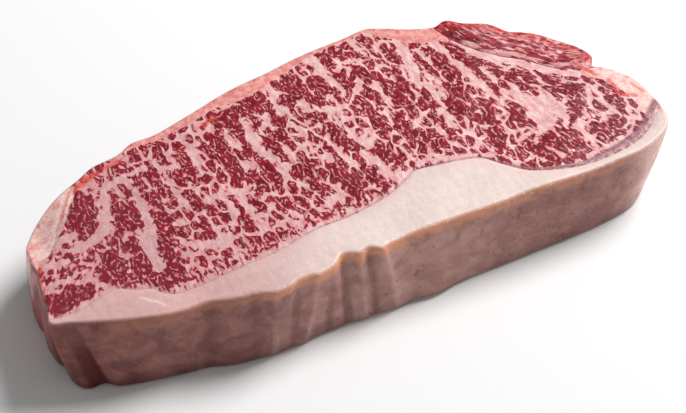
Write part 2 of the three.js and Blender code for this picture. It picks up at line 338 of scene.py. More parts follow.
def skin_rings(rays, chain_line):
    """Rings from the middle of the underside, up the wall, to the middle of the upper face."""
    edge_height = face_height(rays.edge_x, rays.edge_y, chain_line)
    edge_height = edge_height - shoulder_drop(rays.turn, rays.on_tail, 0)
    curl_x, curl_reach, curl_height = FOOT_CURL
    lift = np.where(rays.on_front, curl_height * bell(rays.edge_x - curl_x, curl_reach), 0)
    rings = []

    def face(share, edge_share):
        edge = rays.reach + wall_offset(rays, edge_share, np.full(rays.x.shape, FULL_HEIGHT))
        out = edge * (1 - share)
        x, y = rays.x + rays.dx * out, rays.y + rays.dy * out
        if edge_share == 0:
            return np.stack([x, y, np.zeros_like(x)], -1)
        z = face_height(x, y, chain_line) - shoulder_drop(rays.turn, rays.on_tail, edge - out)
        return np.stack([x, y, z], -1)

    for i in range(UNDERSIDE_RINGS, 0, -1):
        rings.append(face((i / UNDERSIDE_RINGS) ** 1.3, 0))
    for i in range(WALL_RINGS + 1):
        share = 0.5 - 0.5 * math.cos(math.pi * i / WALL_RINGS)
        share = mix(share, i / WALL_RINGS, 0.45)
        out = rays.reach + wall_offset(rays, share, edge_height)
        z = mix(lift * bell(share, 0.12), edge_height, share)
        rings.append(np.stack([rays.x + rays.dx * out, rays.y + rays.dy * out, z], -1))
    for i in range(1, TOP_RINGS + 1):
        rings.append(face(i / TOP_RINGS, 1))
    return rings


def mesh_from(name, points, faces):
    mesh = bpy.data.meshes.new(name)
    mesh.from_pydata(points.tolist(), [], faces)
    mesh.validate()
    obj = bpy.data.objects.new(name, mesh)
    bpy.context.scene.collection.objects.link(obj)
    return obj


def tube_faces(rings, count):
    faces = []
    for ring in range(rings - 1):
        for i in range(count):
            a = ring * count + i
            b = ring * count + (i + 1) % count
            faces.append((a, b, b + count, a + count))
    return faces


def whole_skin(rays, chain_line):
    rings = skin_rings(rays, chain_line)
    return mesh_from("steak_skin", np.concatenate(rings), tube_faces(len(rings), len(rays.x)))


def weld(obj, distance):
    made = bmesh.new()
    made.from_mesh(obj.data)
    bmesh.ops.remove_doubles(made, verts=made.verts, dist=distance)
    bmesh.ops.dissolve_degenerate(made, dist=distance * 0.5, edges=made.edges)
    bmesh.ops.recalc_face_normals(made, faces=made.faces)
    made.to_mesh(obj.data)
    made.free()


# The cutters reach past the steak: their foot, their top and how far they go to the side.
ROOM_LOW, ROOM_HIGH, ROOM_REACH = -6, 42, 250


def room_beside(name, line, side):
    """A closed block of all the room to one side of a seam, as the cutter of the skin."""
    before = np.concatenate([line[:1], line[:-1]])
    after = np.concatenate([line[1:], line[-1:]])
    run = (after - before)[:, :2]
    run /= np.linalg.norm(run, axis=1)[:, None]
    left = np.stack([-run[:, 1], run[:, 0]], -1)

    def near(z):
        aside = (line[:, 2] * (1 - z / FULL_HEIGHT))[:, None]
        return np.column_stack([line[:, :2] + left * aside, np.full(len(line), z)])

    def far(z):
        return np.column_stack([line[:, 0], np.full(len(line), side * ROOM_REACH), np.full(len(line), z)])

    corners = [near(ROOM_LOW), far(ROOM_LOW), far(ROOM_HIGH), near(ROOM_HIGH)]
    if side < 0:
        corners = [far(ROOM_LOW), near(ROOM_LOW), near(ROOM_HIGH), far(ROOM_HIGH)]
    points = np.stack(corners, 1).reshape(-1, 3)
    last = len(points) - 4
    faces = tube_faces(len(line), 4) + [(3, 2, 1, 0), (last, last + 1, last + 2, last + 3)]
    return mesh_from(name, points, faces)


def cut(obj, cutter, operation):
    change = obj.modifiers.new("cut", "BOOLEAN")
    change.operation = operation
    change.solver = "MANIFOLD"
    change.object = cutter
    graph = bpy.context.evaluated_depsgraph_get()
    result = bpy.data.meshes.new_from_object(obj.evaluated_get(graph))
    obj.modifiers.clear()
    old = obj.data
    obj.data = result
    bpy.data.meshes.remove(old)


def copy_of(obj, name):
    made = bpy.data.objects.new(name, obj.data.copy())
    bpy.context.scene.collection.objects.link(made)
    return made


cap_line = curve_through(CAP_SEAM, closed=False, steps=240)
chain_line = curve_through(CHAIN_SEAM, closed=False, steps=90)
rim_line = curve_through(RIM, closed=True, steps=1500)
rays = Rays(rim_line)
skin = whole_skin(rays, chain_line)
weld(skin, distance=0.004)

cap_room = room_beside("cap_room", cap_line, -1)
chain_room = room_beside("chain_room", chain_line, 1)
eye = copy_of(skin, "eye_of_loin")
cap = copy_of(skin, "cap_of_fat")
chain = copy_of(skin, "chain_muscle")
cut(eye, cap_room, "DIFFERENCE")
cut(eye, chain_room, "DIFFERENCE")
cut(cap, cap_room, "INTERSECT")
cut(chain, chain_room, "INTERSECT")
for spare in (skin, cap_room, chain_room):
    bpy.data.objects.remove(spare)
PIECES = {"loin_eye": eye, "fat_cap": cap, "side_chain": chain}


# ---- what the cut faces show ----

# Strokes of fat and of lean as the cut face shows them, each a chain of [x, y, half width].
RIM_FAT = [
    [[-74, 33, 1.2], [-66, 37, 2.2], [-56, 38.6, 3.6], [-48, 40.5, 4.6], [-40, 43, 4.6], [-30, 46.5, 4.8]]
    + [[-20, 49, 7.4], [-11, 51, 7.6], [-4, 53, 5.8], [6, 55.5, 4.6], [16, 57.8, 2.8], [30, 59.4, 1.8]]
    + [[42, 60.6, 1.8]],
    [[46, 61, 3], [53, 57, 6], [60, 53.5, 8.5], [66, 51, 10], [70.5, 49.5, 6.5]],
    [[70, 47, 1.6], [70.6, 40, 1.6]],
    [[-96, 24.5, 2], [-101, 20, 6], [-107, 16, 8], [-114, 9, 9], [-119, 0, 8], [-120.5, -6, 2.5]],
    [[-120.5, -6, 2.5], [-121.5, -14, 1.4], [-123, -22, 1.6], [-124.5, -30, 0.8]],
    [[111, -5, 3.5], [118, -8, 5], [122, -15, 6.5], [123.5, -24, 7.5], [122.5, -33, 6], [120, -40, 5]],
]
CREASES = [
    [[-94, 22.6, 0.3], [-96, 18.7, 0.35], [-101, 9.8, 0.4], [-105.9, 3.5, 0.35], [-113.3, -4.7, 0.4]],
    [[-98, 20.4, 0.25], [-103.4, 11.4, 0.3], [-108, 4.8, 0.25], [-112, 0, 0.2]],
    [[-93.1, -40.6, 0.2], [-90.6, -43.5, 0.35], [-88.6, -45.6, 0.4], [-86.7, -48.1, 0.3]],
]
BLOOD = [
    [[-96.5, 19.6, 0.45], [-102.2, 10.6, 0.4], [-107, 4.2, 0.35]],
    [[-96, 20, 0.9], [-92, 22.5, 1.1], [-87.5, 25, 1.6], [-84, 26, 1.1]],
    [[-81, 27, 0.8], [-76, 28.2, 0.8], [-72, 29.4, 0.5]],
    [[-39, 33.5, 0.7], [-36, 35, 0.9], [-31.6, 36.3, 0.7]],
    [[108, 2, 0.8], [110.6, -3, 1.2], [112.4, -8, 0.7]],
    [[114.6, -12, 0.8], [114.6, -18, 0.9]],
    [[112, -20.6, 0.6], [118.5, -25, 1.1]],
    [[121.6, -18, 0.5], [123, -24, 0.7]],
    [[-119, -12, 0.5], [-121, -18, 0.8], [-122.6, -25, 0.8], [-124, -31, 1]],
]
FAT_STROKES = [
    [[-82, 18, 1.6], [-86, 12, 2], [-88.5, 4, 2.2], [-90.5, -2, 2.4], [-97, -6.5, 2.2], [-104, -9, 1.6]],
    [[-74.5, 20, 1.2], [-75, 8, 1.4], [-75.8, 0, 1.2], [-76.4, -7, 1.6], [-79, -14, 2.6]]
    + [[-81.5, -22, 2.6], [-81.5, -31, 2]],
    [[-80, 19, 1.4], [-72, 20.5, 1.2], [-66, 21, 1]],
    [[-61.6, 22, 1], [-61.8, 10, 1.1], [-61.6, 0, 1], [-60.8, -8, 0.8]],
    [[-59.5, 17.5, 1.4], [-55.5, 16, 1.4]],
    [[-68, -12, 1.2], [-65, -12.5, 1.3]],
    [[-70, -22, 1.6], [-66, -25.5, 2], [-61, -28.5, 1.8], [-54, -26, 2.4]],
    [[-121, -21, 1], [-112, -22.6, 0.9], [-105.5, -23.4, 0.8], [-103.6, -27, 0.9], [-102, -31, 1.2]],
    [[-118, -5, 2.6], [-110, -2, 2.6], [-103, -1, 1.6]],
    [[-116, -13, 1.8], [-109, -12.5, 1.4]],
    [[-56, 29, 0.9], [-55.6, 18, 1.2]],
    [[-48, 31, 1], [-46.6, 21, 1.4], [-48.5, 11, 1.1]],
    [[-32, 27, 1], [-30.6, 15, 1.2]],
    [[-22.5, 28, 1.5], [-23.5, 18, 2.4], [-24, 10, 2.2], [-22, 4, 1.6], [-21.6, -8, 1.8]],
    [[-49, -5, 1.2], [-41, -6, 1.8], [-34, -5.6, 1]],
    [[-46.8, -6, 1.2], [-47.4, -18, 1.6], [-51, -23, 1.8]],
    [[-41, -8, 1.2], [-41.4, -18, 1.7], [-40, -28, 1.6]],
    [[-53, 1, 0.9], [-52, -7, 1.2]],
    [[-36, -14, 0.8], [-29, -13, 1.1]],
    [[-29, -27, 1.2], [-26, -28, 1.2]],
    [[-13, 30, 1], [-15, 24, 2], [-18, 22, 1]],
    [[-6, 46, 1.8], [-6, 39, 2], [-8.4, 33, 1.6], [-7, 27, 1.4]],
    [[1.6, 31, 1.4], [0.8, 24, 1.6]],
    [[-15, 8, 1], [-14.4, 1, 1.3]],
    [[-9.4, 1, 1.4], [-2, 3.4, 1.4]],
    [[-4, -4, 1.2], [-5, -6.4, 1]],
    [[1, 6, 1], [1.6, -4, 1.4], [4, -14, 1.4]],
    [[9.5, -7, 1.4], [11.4, -15, 2], [13, -22, 3], [17.5, -26, 1.6]],
    [[9, 22, 1.2], [8.6, 8, 0.9]],
    [[-17, -28, 1.3], [-13.4, -24, 1.4]],
    [[16.4, 55, 1.6], [17, 46, 2.2], [17.6, 38, 1.4], [18.4, 30, 0.9]],
    [[25, 46, 1.6], [33, 43.6, 1.6]],
    [[36.4, 56, 1.8], [37.6, 50, 1.6], [37, 44, 1]],
    [[46, 57.4, 1.6], [45, 51, 1.1], [43, 45, 0.9]],
    [[53.4, 47, 1.7], [52.8, 40, 2.8], [51, 32, 3.6], [48.6, 24, 2.6], [46.6, 17, 1]],
    [[59, 34, 0.9], [58.4, 28, 1]],
    [[66, 39, 1.2], [66.6, 28, 1.6], [68, 18, 2], [69, 6, 1.8], [71, -6, 1.6]],
    [[13.4, 28, 1.1], [14, 20, 1.4], [10.6, 14.6, 1.2]],
    [[27.6, 31, 1.2], [25, 26, 1.3]],
    [[31.6, 28, 0.9], [32, 13, 1]],
    [[47, 2, 1.4], [46.6, -8, 1.8]],
    [[17.6, -1, 1.1], [12, -6.6, 1.4]],
    [[41, -6, 1], [41, -14, 0.9]],
    [[50.6, 18, 1], [51, 10, 1.6], [49, 3, 0.9]],
    [[63, 8, 0.9], [62.4, 2, 0.8]],
    [[24, -22.6, 1.2], [35, -24.6, 1.6], [46, -28, 1.4]],
    [[64, -14, 1.3], [67, -11, 1.2]],
    [[66, -27, 1.4], [72, -26, 1.8]],
    [[77, -1, 2], [80, -9, 4.4], [82, -15, 6], [80, -21, 4.8], [75, -26.6, 2]],
    [[88, -13, 1.8], [88, -24, 1.6], [84, -29, 1.4]],
    [[75, 17, 1], [75, 8, 1.2]],
    [[73, 36, 1.4], [76, 27.6, 2.2], [81, 20.6, 3], [88, 14.4, 2.8], [93.4, 8, 2.4], [99, 1.6, 2.4]]
    + [[106, -4, 2.4]],
    [[99, -28, 0.7], [101, -19, 0.8], [105, -12, 1.2]],
    [[107, -13, 1.4], [106, -21, 1.5], [105, -28, 1]],
    [[88.6, -30, 1.1], [89, -38, 1.5], [88, -44.6, 1.2]],
    [[92, -28, 0.8], [104, -29, 0.8]],
    [[110, -36, 1.2], [105, -42.6, 1.1], [95, -45.6, 1.1], [84, -46.8, 0.9]],
]
LEAN_STROKES = [
    [[-94.6, 15, 4], [-96, 5, 4.8], [-96, -1, 3.4]],
    [[-98, -3, 1], [-98.6, -6, 0.9]],
    [[-77, 15.4, 1.1], [-76.6, 10, 1.3]],
    [[-83.4, 7, 1.6], [-84.4, 0, 2.2], [-83, -7, 1.4]],
    [[-79, 5, 1.5], [-78.8, -8, 1.6]],
    [[-71.4, 17.4, 1.2], [-71.6, 11, 0.9]],
    [[-66.6, 17, 1.8], [-65.4, 10, 2]],
    [[-71, 6, 1.9], [-69.6, -1, 1.8]],
    [[-63.2, 8, 1.3], [-63.4, 1, 1.4]],
    [[-58, 29, 2], [-58, 21, 2.2]],
    [[-57.6, 11.6, 1.8], [-57.6, 6, 1.6]],
    [[-64, 23, 1.5], [-64, 17, 1.4]],
    [[-58, 0, 1.9], [-57, -9, 1.8]],
    [[-94, -16, 2.4], [-97, -24, 4], [-95, -33, 3]],
    [[-86, -15, 1.8], [-87, -28, 2.8]],
    [[-75, -18, 2.2], [-76.6, -27, 2], [-77, -37, 2.2]],
    [[-74.6, -5, 1.1], [-74, -13, 1.1]],
    [[-70.6, -6, 1.4], [-69, -16, 1.9]],
    [[-59.2, -18, 1.6], [-59, -26, 1.7]],
    [[-121, -29.6, 3.4], [-117, -30.4, 4], [-112, -30, 3], [-108.6, -30.2, 2.7]],
    [[-120.6, -34, 2.6], [-117, -33.4, 2.2]],
    [[-84.6, -33, 2], [-84, -40, 2.4]],
    [[-51.4, 22, 2], [-52.2, 12, 2.2]],
    [[-53.4, 8, 2], [-50, 4, 1.4]],
    [[-41.6, 22, 1.6], [-41, 15, 1.4]],
    [[-36.4, 24, 2.4], [-36.6, 19, 2.2]],
    [[-37.4, 15, 2.4], [-37, 2, 2.8]],
    [[-28, 17.4, 1.8], [-29, 12, 1.4]],
    [[-26.6, 5, 1.2], [-26.4, 0, 2.6], [-27, -4, 1.4]],
    [[-26.6, -6, 1], [-26.6, -10, 1.1]],
    [[-44, -10, 1.2], [-43.6, -16, 1.6], [-44.6, -23, 1.5]],
    [[-33.6, -8, 1.6], [-31, -11.4, 1.3]],
    [[-32, -16, 1.3], [-27, -18.6, 1.6], [-27, -24.6, 1.2]],
    [[-33, 0, 2], [-32.6, -5, 1.6]],
    [[-39, 1, 1.4], [-39, -4.6, 1.2]],
    [[-38.6, -14, 1.8], [-38.6, -20, 1.3]],
    [[-18.4, 28, 1.3], [-19.4, 23, 1.4]],
    [[-12.4, 31, 1.6], [-11, 23, 1.8]],
    [[-17.4, 19, 1.4], [-14, 13.4, 1.8], [-12.4, 18, 1.4]],
    [[-18.6, 12, 1.8], [-18.8, 2, 1.5]],
    [[-26.8, 27, 3], [-27, 22, 2.4]],
    [[-30, 34, 4], [-22, 35, 3.4]],
    [[-18, 36, 3.6], [-13, 38, 3.2]],
    [[-4, 34, 2.4], [-2, 30.4, 2.4]],
    [[-2.4, 45, 1.2], [-1, 40, 1.2]],
    [[3.4, 47, 2.2], [2.4, 35, 2.6]],
    [[6.6, 46, 1.1], [6.4, 36, 1]],
    [[6, 30, 2], [9, 24, 2.4]],
    [[-4, -11, 2.4], [-3, -18, 3], [-2.4, -27, 2]],
    [[-15, -13, 2], [-14.6, -19, 2]],
    [[-16.4, -4, 1.8], [-17, -9, 1.6]],
    [[-12, -1, 1.4], [-12, -6, 1.4]],
    [[-0.4, 0, 1.2], [0.6, -9, 1.2]],
    [[4, 8, 1.6], [6, 0, 2], [8.6, -5, 1.4]],
    [[6, -8, 1.1], [6.6, -13, 1]],
    [[6.4, -16, 1.6], [7.6, -27, 2]],
    [[2, 20, 2], [4, 17, 1.6]],
    [[12.8, 40, 2.6], [13, 31, 3]],
    [[22.6, 53, 1.5], [22.4, 45, 1.4]],
    [[29.4, 55, 1.5], [29, 48, 1.2]],
    [[34.4, 51, 1.2], [35, 45, 1.3]],
    [[42, 57.6, 1.3], [41.4, 50, 1.4]],
    [[22, 38, 2], [22.6, 31, 2.2]],
    [[30, 40, 1.6], [31.4, 32, 2]],
    [[28, 24.6, 1.6], [28.6, 16, 1.8]],
    [[22.6, 21, 1.8], [23, 8, 1.8], [23, 0, 1.6]],
    [[37, 26, 2], [36.6, 15, 2.4], [38, 8, 1.8]],
    [[43, 31, 1.2], [42, 22, 1.1], [41.6, 13, 1.1]],
    [[47, 18, 1.4], [46.4, 4, 1.8]],
    [[57, 14, 2], [58, 8, 2.6], [60, 2, 1.6]],
    [[53, 4, 1.8], [55, -2, 2.6], [56.4, -9, 1.8]],
    [[51, -4, 0.9], [50.6, -12, 1]],
    [[43.6, 0, 1.4], [44.4, -10, 1.6], [43.4, -18, 1.1]],
    [[62, 36, 1.8], [63, 22, 1.8], [62.6, 15, 1.2]],
    [[56.6, 32, 1.4], [56.4, 23, 1.5]],
    [[65, -2, 2], [62, -10, 2.2], [61, -16, 1.4]],
    [[59.4, -19, 2.4], [57, -24, 2.4], [56, -29, 1.6]],
    [[30.6, 6, 2], [30, -4, 2.4], [28.4, -10, 1.6]],
    [[14, -9, 1.6], [17, -13, 2], [18.4, -19, 1.4]],
    [[39, -10, 1.2], [38, -18, 1.2]],
    [[33, -11, 1.3], [35.4, -18, 1.3]],
    [[47, 43, 1.6], [48, 36, 1.8]],
    [[54, 41, 1.5], [56, 35, 1.6]],
    [[69, 37, 1], [69.6, 31, 1]],
    [[74, -11, 2.2], [72, -16, 2.8], [73.8, -22, 0.8]],
    [[72, 18, 1], [72.2, 11, 0.8]],
    [[73, 29, 1.4], [74, 22, 1.6], [71, 23, 1.2]],
    [[77.4, 19, 0.9], [79.6, 11, 1.2]],
    [[82, 9, 1.6], [82.4, 2, 1.6]],
    [[86, 8, 1.6], [88, 2, 1.5]],
    [[92, 5, 1], [94, -3, 1.8], [97, -9, 1.4]],
    [[95, -19, 1.4], [92, -24, 2], [87.6, -29, 1.4]],
    [[97, -12, 1.4], [98.4, -14, 1.6]],
    [[102, -10, 1.1], [102, -17, 1.1]],
    [[102.4, -21, 1.1], [103, -27, 1.4]],
    [[108.4, -21, 1.2], [109.4, -28, 1.6]],
    [[111.6, -15, 0.9], [114, -22, 0.9]],
    [[66.6, -33.4, 2.4], [68.6, -35.4, 2.2]],
    [[74.6, -32, 2.2], [78, -38, 2.8]],
    [[83, -32, 2.6], [83, -40, 2.8]],
    [[93.4, -34, 2.4], [99, -36.6, 3.4], [105, -35, 2.2]],
    [[95, -43, 1], [103, -41.6, 1.4]],
    [[69, -43.8, 1.3], [72, -44.6, 1.1]],
    [[79, -44.4, 1.4], [83, -45, 1.3]],
]

# How far the bundles lean towards +X from +Y, in degrees: middle, tail, broad end, beside the chain.
LEANS = [4, 30, -10, -38]

# The wall's paleness is partly its own colour and partly painted light: darker towards the tail, lighter at
# the broad end.
# How pale the outer wall is along X, and how strong the amber line below its edge is, as [x, share].
PALE_ALONG = [[-125, 0], [-60, 0.13], [-20, 0.42], [20, 0.44], [60, 0.22], [95, 0.22], [108, 0.85], [116, 1]]
AMBER_ALONG = [[-112, 0], [-98, 0.3], [-80, 0.3], [-62, 0.45], [-50, 0.8], [-25, 1], [0, 1], [30, 0.95]]
AMBER_ALONG += [[60, 0.85], [90, 0.6], [110, 0.1]]

# The x below which the wall turns round the tail, and its red flank: direction from TAIL_HUB and half width.
TAIL_TURN = -84
FLANK = (182, 16)

# How far below the upper face its relief reaches.
RELIEF_DEPTH = 1.7


def stroke_depth(x, y, strokes, blur, wide=1.0):
    """1 inside the strokes, 0 outside, with edges as soft as the blur. Half widths are taken wide times."""
    depth = np.zeros(x.shape)
    for stroke in strokes:
        for (ax, ay, aw), (bx, by, bw) in zip(stroke[:-1], stroke[1:]):
            reach = max(aw, bw) * wide + blur
            near = (x > min(ax, bx) - reach) & (x < max(ax, bx) + reach)
            near &= (y > min(ay, by) - reach) & (y < max(ay, by) + reach)
            px, py = x[near], y[near]
            run_x, run_y = bx - ax, by - ay
            share = clamp01(((px - ax) * run_x + (py - ay) * run_y) / (run_x**2 + run_y**2))
            away = np.hypot(px - ax - share * run_x, py - ay - share * run_y)
            within = clamp01(0.5 - (away - mix(aw, bw, share) * wide) / (2 * blur))
            depth[near] = np.maximum(depth[near], within)
    return depth


def wavy_strokes(x, y, strokes, wobble, size, blur, seed):
    """Strokes with lines that wobble a little."""
    bend_x, bend_y = (wobble * waves(x / size, y / size, seed + i) for i in (0, 1))
    return stroke_depth(x + bend_x, y + bend_y, strokes, blur)


def grain_zones(x, y, chain_away):
    """Shares of the grain of the tail, of the broad end and beside the chain, each over the one before."""
    tail = rise(-96, -106, x)
    broad = rise(60, 82, x)
    return tail, broad, broad * rise(20, 10, -chain_away) * rise(-14, -4, y)


def marbling(x, y):
    """How far the eye's cut face tends to lean (above 0) or to fat (below 0), and where it is solid lean."""
    bent_x = x + 0.9 * waves(x / 4.5, y / 6, 61) + 0.5 * waves(x / 1.9, y / 2.6, 62)
    bent_y = y + 1.3 * waves(x / 5, y / 6, 63) + 0.7 * waves(x / 2.1, y / 2.6, 64)
    fat = stroke_depth(bent_x, bent_y, FAT_STROKES, 0.9, 0.82)
    lean = stroke_depth(bent_x, bent_y, LEAN_STROKES, 0.8, 1.1) * (1 - fat)
    field = 0.23 * waves(x / 6.5, y / 13, 65) + 0.16 * waves(x / 3.4, y / 6.5, 66)
    field = field * (1 - 0.35 * np.maximum(fat, lean)) + 0.42 * lean - 0.72 * fat
    return field, lean


def inside(line, x, y):
    """1 where a point lies inside a closed line, -1 outside it."""
    crossings = np.zeros(x.shape, int)
    for (ax, ay), (bx, by) in zip(line[:-1, :2], line[1:, :2]):
        if ay == by:
            continue
        spans = (ay > y) != (by > y)
        crossings += spans & (x < ax + (y - ay) / (by - ay) * (bx - ax))
    return np.where(crossings % 2 == 1, 1.0, -1.0)


# ---- materials ----


def linear(r, g, b):
    """An sRGB colour out of 255 as the linear one that shaders take."""
    return tuple(
        (c / 255 / 12.92) if c <= 10 else ((c / 255 + 0.055) / 1.055) ** 2.4 for c in (r, g, b)
    ) + (1.0,)


class Nodes:
    """A short way to write a material's nodes."""

    def __init__(self, name):
        self.material = bpy.data.materials.new(name)
        self.material.use_nodes = True
        self.tree = self.material.node_tree
        self.shader = self.tree.nodes["Principled BSDF"]
        self.attributes = {}

    def feed(self, node, inputs):
        """Gives a node's inputs, by name or by number, a link or a value each. None leaves one as it is."""
        for key, value in inputs.items():
            if hasattr(value, "links"):
                self.tree.links.new(value, node.inputs[key])
            elif value is not None:
                node.inputs[key].default_value = value

    def new(self, kind, inputs, **settings):
        node = self.tree.nodes.new(kind)
        for key, value in settings.items():
            setattr(node, key, value)
        self.feed(node, inputs)
        return node

    def attribute(self, name):
        if name not in self.attributes:
            node = self.new("ShaderNodeAttribute", {}, attribute_name=name)
            self.attributes[name] = node.outputs["Fac"]
        return self.attributes[name]

    def math(self, operation, a, b=None, c=None):
        return self.new("ShaderNodeMath", {0: a, 1: b, 2: c}, operation=operation).outputs[0]

    def scaled(self, value, factor, shift):
        return self.math("MULTIPLY_ADD", value, factor, shift)

    def times(self, product, *others):
        for other in others:
            product = self.math("MULTIPLY", product, other)
        return product

    def step(self, low, high, value):
        """0 below low, 1 above high, smooth between. Where low is the larger, it falls instead."""
        inputs = {"Value": value, "From Min": low, "From Max": high}
        return self.new("ShaderNodeMapRange", inputs, interpolation_type="SMOOTHSTEP").outputs["Result"]

    def blend(self, share, a, b):
        return self.new("ShaderNodeMix", {0: share, 2: a, 3: b}, data_type="FLOAT").outputs[0]

    def mix(self, share, a, b, blend="MIX"):
        inputs = {0: share, 6: a, 7: b}
        return self.new("ShaderNodeMix", inputs, data_type="RGBA", blend_type=blend).outputs[2]

    def shade(self, value, low, high, dark, light):
        """A colour from dark to light, as the value goes from low to high."""
        return self.mix(self.step(low, high, value), linear(*dark), linear(*light))

    def tint(self, colour, over, *shares):
        """A colour with another one laid over it, by the product of the shares."""
        return self.mix(self.times(*shares), colour, linear(*over))

    def on_object(self):
        return self.new("ShaderNodeTexCoord", {}).outputs["Object"]

    def mapped(self, vector, scale=(1, 1, 1), shift=(0, 0, 0), turn=0):
        inputs = {"Vector": vector, "Scale": scale, "Location": shift, "Rotation": (0, 0, turn)}
        return self.new("ShaderNodeMapping", inputs, vector_type="POINT").outputs["Vector"]

    def place(self, scale, turn=0, shift=(0, 0, 0)):
        """Coordinates in millimetres on the object, over a grain size per axis, turned about Z."""
        return self.mapped(self.mapped(self.on_object(), turn=turn), [1000 / s for s in scale], shift)

    def beside(self, away, lean, size):
        """Coordinates beside a line, over a size along it and one across it: X + lean * Y runs along it."""
        spot = self.new("ShaderNodeSeparateXYZ", {0: self.on_object()})
        along = self.scaled(spot.outputs[1], lean, spot.outputs[0])
        inputs = {0: self.times(along, 1000 / size[0]), 1: self.times(away, 1 / size[1])}
        return self.new("ShaderNodeCombineXYZ", inputs).outputs[0]

    def noise(self, place, detail=2, rough=0.5, distort=0):
        inputs = {"Vector": place, "Scale": 1, "Detail": detail, "Roughness": rough, "Distortion": distort}
        return self.new("ShaderNodeTexNoise", inputs).outputs["Fac"]

    def flat_noise(self, place, size, detail, rough, seed):
        """Noise on the plan alone, with a grain size across and along, as the outputs of its node."""
        vector = self.mapped(place, (1 / size[0], 1 / size[1], 0), (seed * 7.3, seed * 3.1, 0))
        inputs = {"Vector": vector, "Scale": 1, "Detail": detail, "Roughness": rough}
        return self.new("ShaderNodeTexNoise", inputs, noise_dimensions="2D").outputs

    def fibres(self, lean, seed):
        """Coordinates in millimetres on the plan, turned so that Y runs along the fibres, and made wavy."""
        place = self.mapped(self.on_object(), (1000, 1000, 0), turn=math.radians(lean))
        bend = self.flat_noise(place, (4.4, 6.6), 1.3, 0.45, seed)["Color"]
        bend = self.new("ShaderNodeVectorMath", {0: bend, 1: (0.5, 0.5, 0.5)}, operation="SUBTRACT")
        inputs = {0: bend.outputs[0], 1: (2.2, 3.6, 0), 2: place}
        return self.new("ShaderNodeVectorMath", inputs, operation="MULTIPLY_ADD").outputs[0]

    def borders(self, place, size, seed):
        """0 on the borders of random cells on the plan, and up to 1 towards their middles."""
        vector = self.mapped(place, (1 / size[0], 1 / size[1], 0), (seed * 5.7, seed * 2.3, 0))
        inputs = {"Vector": vector, "Scale": 1, "Randomness": 0.9}
        second, first = (
            self.new("ShaderNodeTexVoronoi", inputs, voronoi_dimensions="2D", feature=feature)
            for feature in ("F2", "F1")
        )
        return self.math("SUBTRACT", second.outputs["Distance"], first.outputs["Distance"])


# Each function below makes one part of the material, and reads the point attributes that flesh() lists.


def eye_colour(n):
    """Drop-shaped bundles of lean in pink fat, with hooks and rings of fat in them."""
    zones = [None] + [n.attribute(zone) for zone in ("tail", "broad", "bychain")]
    fibres = [n.fibres(lean, i + 1) for i, lean in enumerate(LEANS)]

    def zoned(pattern):
        """A pattern laid along the fibres of every part of the eye, and blended where they meet."""
        value = None
        for i, (weight, place) in enumerate(zip(zones, fibres)):
            made = pattern(place, i + 1)
            value = made if weight is None else n.blend(weight, value, made)
        return value

    def grain(across, along, seed, rough, detail=1):
        """Noise from -1 to 1, with a grain size across the fibres and one along them."""

        def pattern(place, i):
            return n.scaled(n.flat_noise(place, (across, along), detail, rough, seed + 9 * i)["Fac"], 2, -1)

        return zoned(pattern)

    lean_at, warm = n.attribute("lean"), n.attribute("warm")
    spread = grain(6, 9, 4, 0.5)
    channel = n.scaled(spread, 0.28, 0.05)
    body = n.math("SUBTRACT", zoned(lambda place, i: n.borders(place, (4.3, 7.8), i)), channel)
    body = n.math("MAXIMUM", n.step(0, 0.3, body), n.attribute("solid"))
    hooks = n.math("ABSOLUTE", grain(2.2, 4.6, 1, 0.3))
    field = n.scaled(body, 0.8, n.math("SUBTRACT", lean_at, 0.27))
    field = n.scaled(hooks, -0.95, field)
    field = n.scaled(grain(1, 2, 2, 0.45), 0.2, field)
    specks = n.scaled(grain(1.5, 2.7, 10, 0.35), 1.2, n.math("ADD", lean_at, 0.03))
    field = n.blend(n.attribute("small"), field, specks)

    # Thin curls and short dashes of fat inside the bundles.
    curls = n.math("ABSOLUTE", grain(1.9, 3.8, 3, 0.3))
    curls = n.step(n.scaled(spread, 0.1, 0.19), 0.03, curls)
    curls = n.times(curls, n.step(-0.1, 0.3, grain(1.4, 2.6, 5, 0.4)))
    dashes = n.step(0.36, 0.52, grain(1, 2.4, 6, 0.3))
    inner = n.math("MAXIMUM", curls, n.times(dashes, 0.9))
    inner = n.times(inner, n.step(0.02, 0.12, field), n.scaled(n.attribute("tail"), -0.35, 1))
    lean_cover = n.times(n.step(-0.1, 0.1, field), n.scaled(inner, -0.95, 1))

    lean = n.shade(grain(1.8, 3.6, 7, 0.6), -0.5, 0.6, (108, 14, 30), (158, 27, 43))
    bright = grain(2.8, 3.6, 11, 0.5)
    edges = n.times(n.step(0.34, 0, field), n.step(-0.1, 0.5, bright), 0.75)
    bright = n.math("MAXIMUM", edges, n.times(n.step(0.25, 0.6, bright), 0.3))
    lean = n.tint(lean, (190, 44, 52), bright)
    lean = n.tint(lean, (112, 34, 62), n.step(0.6, 1, n.attribute("far")), 0.35)
    lean = n.tint(lean, (134, 46, 58), n.step(0.3, 0, warm), 0.45)

    fat_tone = n.scaled(grain(2, 6, 8, 0.6, 2), 0.5, 0.5)
    cool = n.shade(fat_tone, 0.3, 0.7, (208, 153, 155), (224, 178, 178))
    pale = n.shade(fat_tone, 0.3, 0.7, (226, 172, 172), (246, 206, 202))
    fat = n.tint(n.mix(warm, cool, pale), (232, 138, 141), n.step(-0.5, -0.05, field), 0.55)
    return n.mix(lean_cover, n.mix(n.attribute("rimfat"), fat, rim_fat_colour(n)), lean)


